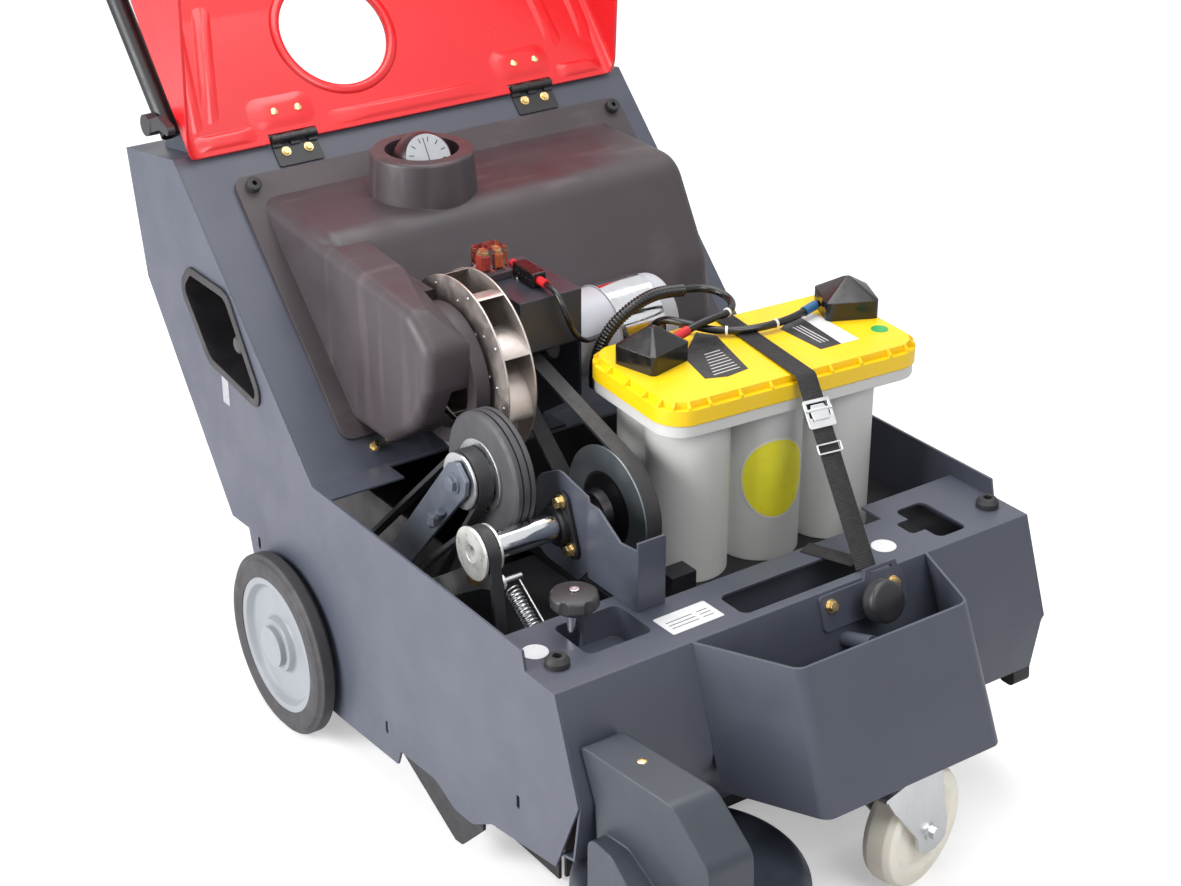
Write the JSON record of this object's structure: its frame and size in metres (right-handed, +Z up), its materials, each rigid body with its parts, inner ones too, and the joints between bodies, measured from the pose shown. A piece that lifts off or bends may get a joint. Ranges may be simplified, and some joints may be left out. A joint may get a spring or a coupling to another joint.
{
  "type": "walk-behind floor sweeper",
  "caption": "Walk-behind battery floor sweeper with its hood open, showing battery, motor, suction impeller, belts and friction drive, with side brush, caster and folding handle.",
  "frame": {"origin": "on the floor, in the machine's centre plane, straight below the rear axle", "axes": "+Z up, +Y to the rear where the user walks, -X the right-hand side with the drive and side brush"},
  "size_m": [0.706, 1.3888, 1.4391],
  "materials": {
    "panel_paint": "satin powder coat",
    "black_paint": "satin powder coat",
    "panel_plastic": "satin moulding",
    "hood_red": "satin moulding",
    "black_plastic": "fine grained moulding",
    "black_gloss": "smooth moulding",
    "grey_plastic": "satin moulding",
    "rim_grey": "satin moulding",
    "lid_yellow": "satin moulding",
    "relay_clear": "smooth moulding",
    "white_plastic": "satin moulding",
    "nylon": "translucent satin",
    "motor_paint": "satin paint, bright band",
    "zinc": "zinc plate",
    "yellow_zinc": "yellow zinc plate",
    "chrome": "polished",
    "impeller_metal": "mill finish sheet",
    "rubber": "matt",
    "belt_rubber": "matt",
    "tyre": "matt",
    "webbing": "woven",
    "bristle": "cut filament"
  },
  "bodies": {
    "chassis": {"side_panel_right": "panel_paint", "side_panel_left": "panel_paint", "top_panel": "panel_paint", "front_deck": "panel_paint", "battery_tray": "black_paint", "brush_housing": "black_paint", "front_guard": "panel_paint", "bearing_bracket": "panel_paint", "flange_bearings": "black_paint", "side_pocket": "black_plastic", "filter_box": "black_plastic", "rubber_buffers": "rubber", "motor_body": "motor_paint", "drive_cover": "black_plastic", "relay_fuses": "relay_clear", "battery_case": "grey_plastic", "battery_lid": "lid_yellow", "terminal_covers": "black_gloss", "battery_strap": "webbing", "strap_buckle": "zinc", "battery_leads": "black_gloss", "cable_conduit": "black_plastic", "hinge_leaves": "black_paint", "skirt_flaps": "rubber", "drive_belt": "belt_rubber", "brush_belt": "belt_rubber", "tension_spring": "zinc", "tensioner_arm": "zinc", "bowden_cable": "zinc", "bolts": "yellow_zinc"},
    "hood": {"hood": "hood_red", "hood_leaves": "black_paint"},
    "drive_wheel": {"drive_tyre": "tyre", "drive_rim": "rim_grey", "rear_axle": "zinc"},
    "free_wheel": {"free_tyre": "tyre", "free_rim": "rim_grey"},
    "caster_fork": {"caster_fork": "zinc"},
    "caster_wheel": {"caster_wheel": "nylon"},
    "main_brush": {"main_brush": "bristle"},
    "countershaft": {"countershaft": "chrome", "white_pulley": "white_plastic", "belt_pulley": "zinc"},
    "rotor": {"motor_shaft": "zinc", "impeller": "impeller_metal"},
    "idler_pulley": {"idler_pulley": "white_plastic"},
    "friction_arm": {"friction_arm": "black_paint", "traction_belt": "belt_rubber"},
    "friction_wheel": {"friction_tyre": "tyre", "friction_hub": "zinc"},
    "side_brush_arm": {"side_brush_arm": "panel_plastic"},
    "side_brush": {"side_brush": "bristle"},
    "star_knob": {"star_knob": "black_plastic"},
    "guard_knob": {"guard_knob": "black_plastic"},
    "filter_dial": {"filter_dial": "grey_plastic"},
    "shaker_knob": {"shaker_knob": "black_plastic"},
    "handle": {"handle": "black_paint"},
    "drive_bail": {"drive_bail": "black_paint"},
    "clamp_lever": {"clamp_lever": "black_plastic"},
    "hopper": {"hopper": "black_plastic"}
  },
  "joints": [
    {"name": "hood_hinge", "type": "hinge", "parent": "chassis", "child": "hood", "pos_m": [0, 0.225, 0.647], "axis": [1, 0, 0], "range_deg": [0, 130]},
    {"name": "drive_wheel_spin", "type": "hinge", "parent": "chassis", "child": "drive_wheel", "pos_m": [-0.33, 0, 0.112], "axis": [1, 0, 0], "continuous": true},
    {"name": "free_wheel_spin", "type": "hinge", "parent": "chassis", "child": "free_wheel", "pos_m": [0.33, 0, 0.112], "axis": [1, 0, 0], "continuous": true},
    {"name": "caster_swivel", "type": "hinge", "parent": "chassis", "child": "caster_fork", "pos_m": [0.036, -0.662, 0.174], "axis": [0, 0, 1], "continuous": true},
    {"name": "caster_wheel_spin", "type": "hinge", "parent": "caster_fork", "child": "caster_wheel", "pos_m": [0.0729, -0.65294, 0.07], "axis": [-0.2385, 0.9711, 0], "continuous": true},
    {"name": "main_brush_spin", "type": "hinge", "parent": "chassis", "child": "main_brush", "pos_m": [0.035, -0.31, 0.13], "axis": [1, 0, 0], "continuous": true},
    {"name": "countershaft_spin", "type": "hinge", "parent": "chassis", "child": "countershaft", "pos_m": [-0.17, -0.326, 0.362], "axis": [1, 0, 0], "continuous": true},
    {"name": "rotor_spin", "type": "hinge", "parent": "chassis", "child": "rotor", "pos_m": [-0.085, -0.123, 0.47], "axis": [1, 0, 0], "continuous": true},
    {"name": "idler_spin", "type": "hinge", "parent": "chassis", "child": "idler_pulley", "pos_m": [-0.26, -0.2, 0.25], "axis": [1, 0, 0], "continuous": true},
    {"name": "friction_arm_swing", "type": "hinge", "parent": "chassis", "child": "friction_arm", "pos_m": [-0.2445, 0, 0.112], "axis": [1, 0, 0], "range_deg": [-1.5, 0]},
    {"name": "friction_wheel_spin", "type": "hinge", "parent": "friction_arm", "child": "friction_wheel", "pos_m": [-0.2, -0.254, 0.4075], "axis": [1, 0, 0], "continuous": true},
    {"name": "side_brush_lift", "type": "slide", "parent": "chassis", "child": "side_brush_arm", "axis": [0, 0, 1], "range_m": [0, 0.02]},
    {"name": "side_brush_spin", "type": "hinge", "parent": "side_brush_arm", "child": "side_brush", "pos_m": [-0.203, -0.622, 0], "axis": [0, -0.0523, 0.9986], "continuous": true},
    {"name": "star_knob_turn", "type": "hinge", "parent": "chassis", "child": "star_knob", "pos_m": [-0.237, -0.465, 0.34], "axis": [0, 0, 1], "range_deg": [-180, 180]},
    {"name": "guard_knob_turn", "type": "hinge", "parent": "chassis", "child": "guard_knob", "pos_m": [0.072, -0.55746, 0.3033], "axis": [0, -0.9408, 0.339], "range_deg": [-180, 180]},
    {"name": "filter_dial_turn", "type": "hinge", "parent": "chassis", "child": "filter_dial", "pos_m": [-0.062, 0.1, 0.64], "axis": [0, 0, 1], "range_deg": [-90, 90]},
    {"name": "shaker_pull", "type": "slide", "parent": "chassis", "child": "shaker_knob", "axis": [-1, 0, 0], "range_m": [0, 0.03], "stiffness_N_per_m": 150, "springref_m": -0.004},
    {"name": "handle_fold", "type": "hinge", "parent": "chassis", "child": "handle", "pos_m": [0, 0.286, 0.674], "axis": [1, 0, 0], "range_deg": [-30, 0]},
    {"name": "drive_bail_squeeze", "type": "hinge", "parent": "handle", "child": "drive_bail", "pos_m": [0, 0.52822, 0.94302], "axis": [1, 0, 0], "range_deg": [0, 20], "stiffness_Nm_per_rad": 1, "springref_deg": -20.05},
    {"name": "clamp_lever_turn", "type": "hinge", "parent": "chassis", "child": "clamp_lever", "pos_m": [-0.32, 0.286, 0.674], "axis": [1, 0, 0], "range_deg": [-90, 0]},
    {"name": "hopper_slide", "type": "slide", "parent": "chassis", "child": "hopper", "axis": [0, 1, 0], "range_m": [0, 0.35]}
  ],
  "couplings": [
    {"joint": "countershaft_spin", "follows": "main_brush_spin", "ratio": 3.1111},
    {"joint": "rotor_spin", "follows": "main_brush_spin", "ratio": 10.267},
    {"joint": "idler_spin", "follows": "main_brush_spin", "ratio": 3.1818},
    {"joint": "friction_wheel_spin", "follows": "drive_wheel_spin", "ratio": 2.3571}
  ]
}
